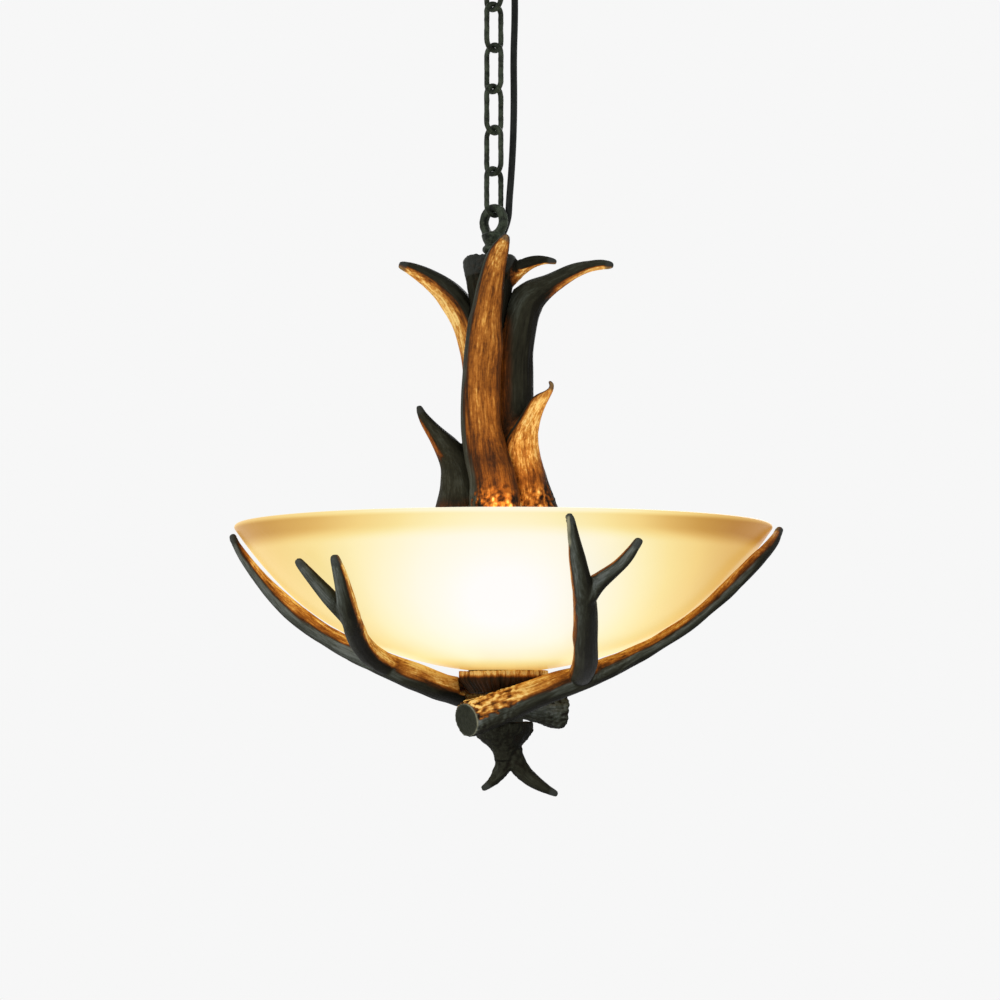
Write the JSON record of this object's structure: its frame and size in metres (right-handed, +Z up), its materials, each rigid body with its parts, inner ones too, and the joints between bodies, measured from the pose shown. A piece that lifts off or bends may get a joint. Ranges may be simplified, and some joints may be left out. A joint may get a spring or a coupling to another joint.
{
  "type": "pendant light",
  "caption": "Rustic pendant light: a lit amber glass bowl cupped by forked antler arms, under a trunk of antlers on a chain and ceiling canopy.",
  "frame": {"origin": "on the ceiling plane, on the line that the chain hangs along, at the centre of the two ceiling screw slots", "axes": "+Z up, +X to the viewer's right as pictured, -Y toward the viewer"},
  "size_m": [0.4556, 0.4481, 0.7512],
  "materials": {
    "bronze_metal": "dark antique bronze, worn and slightly glossy",
    "zinc_steel": "zinc-plated steel, satin",
    "antler_resin": "cast resin antler, grooved, dark brown with amber and pale tips",
    "amber_glass": "frosted amber glass, lit from inside",
    "lamp_glass": "opal bulb glass",
    "cap_metal": "threaded bulb cap",
    "cord_jacket": "black jacket",
    "terminal_plastic": "moulded, off-white",
    "holder_plastic": "glazed white lamp holder",
    "gasket_rubber": "dark gasket",
    "brass": "plain brass"
  },
  "bodies": {
    "ceiling": {"ceiling_bracket": "zinc_steel", "canopy": "bronze_metal", "canopy_studs": "zinc_steel", "cap_nuts": "bronze_metal", "canopy_nipple": "zinc_steel", "bracket_nut": "zinc_steel", "canopy_loop": "bronze_metal", "terminal_block": "terminal_plastic", "cord_gland": "cord_jacket", "canopy_lead": "cord_jacket", "supply_cord": "cord_jacket"},
    "link_1": {"chain_link_1": "bronze_metal"},
    "link_2": {"chain_link_2": "bronze_metal"},
    "link_3": {"chain_link_3": "bronze_metal"},
    "link_4": {"chain_link_4": "bronze_metal"},
    "link_5": {"chain_link_5": "bronze_metal"},
    "link_6": {"chain_link_6": "bronze_metal"},
    "lamp": {"arm_antler_back": "antler_resin", "arm_antler_left": "antler_resin", "arm_antler_right": "antler_resin", "arm_bracket": "zinc_steel", "arm_nut": "zinc_steel", "arm_screws": "zinc_steel", "centre_rod": "zinc_steel", "clamp_nut": "zinc_steel", "clamp_washer": "zinc_steel", "cluster_body": "bronze_metal", "cluster_cover": "bronze_metal", "crown": "antler_resin", "finial": "antler_resin", "finial_insert": "brass", "finial_spacer": "zinc_steel", "glass_bowl": "amber_glass", "hanging_eye": "bronze_metal", "holder_contacts": "brass", "holder_nipples": "zinc_steel", "hub_rosette": "antler_resin", "inner_gasket": "gasket_rubber", "lamp_holder_1": "holder_plastic", "lamp_holder_2": "holder_plastic", "lamp_holder_3": "holder_plastic", "lamp_leads": "terminal_plastic", "outer_gasket": "gasket_rubber", "rod_nut": "zinc_steel", "stem_antler_front": "antler_resin", "stem_antler_left": "antler_resin", "stem_antler_right": "antler_resin", "stem_lead": "terminal_plastic", "stem_tube": "zinc_steel", "trunk_nut": "zinc_steel", "trunk_plate": "zinc_steel", "trunk_screws": "zinc_steel"},
    "bulb_1": {"bulb_cap_1": "cap_metal", "bulb_glass_1": "lamp_glass"},
    "bulb_2": {"bulb_cap_2": "cap_metal", "bulb_glass_2": "lamp_glass"},
    "bulb_3": {"bulb_cap_3": "cap_metal", "bulb_glass_3": "lamp_glass"}
  },
  "joints": [
    {"name": "loop_swing", "type": "hinge", "parent": "ceiling", "child": "link_1", "pos_m": [0, 0, -0.057], "axis": [0.7071, 0.7071, 0], "range_deg": [-20, 20], "deforming": ["supply_cord"]},
    {"name": "link_swing_1", "type": "hinge", "parent": "link_1", "child": "link_2", "pos_m": [0, 0, -0.09175], "axis": [-0.7071, 0.7071, 0], "range_deg": [-20, 20]},
    {"name": "link_swing_2", "type": "hinge", "parent": "link_2", "child": "link_3", "pos_m": [0, 0, -0.12685], "axis": [0.7071, 0.7071, 0], "range_deg": [-20, 20]},
    {"name": "link_swing_3", "type": "hinge", "parent": "link_3", "child": "link_4", "pos_m": [0, 0, -0.16195], "axis": [-0.7071, 0.7071, 0], "range_deg": [-20, 20]},
    {"name": "link_swing_4", "type": "hinge", "parent": "link_4", "child": "link_5", "pos_m": [0, 0, -0.19705], "axis": [0.7071, 0.7071, 0], "range_deg": [-20, 20]},
    {"name": "link_swing_5", "type": "hinge", "parent": "link_5", "child": "link_6", "pos_m": [0, 0, -0.23215], "axis": [-0.7071, 0.7071, 0], "range_deg": [-20, 20]},
    {"name": "eye_swing", "type": "hinge", "parent": "link_6", "child": "lamp", "pos_m": [0, 0, -0.26725], "axis": [0.7071, 0.7071, 0], "range_deg": [-20, 20]},
    {"name": "bulb_unscrew_1", "type": "slide", "parent": "lamp", "child": "bulb_1", "axis": [0, -1, 0], "range_m": [0, 0.028]},
    {"name": "bulb_unscrew_2", "type": "slide", "parent": "lamp", "child": "bulb_2", "axis": [0.866, 0.5, 0], "range_m": [0, 0.028]},
    {"name": "bulb_unscrew_3", "type": "slide", "parent": "lamp", "child": "bulb_3", "axis": [-0.866, 0.5, 0], "range_m": [0, 0.028]}
  ]
}
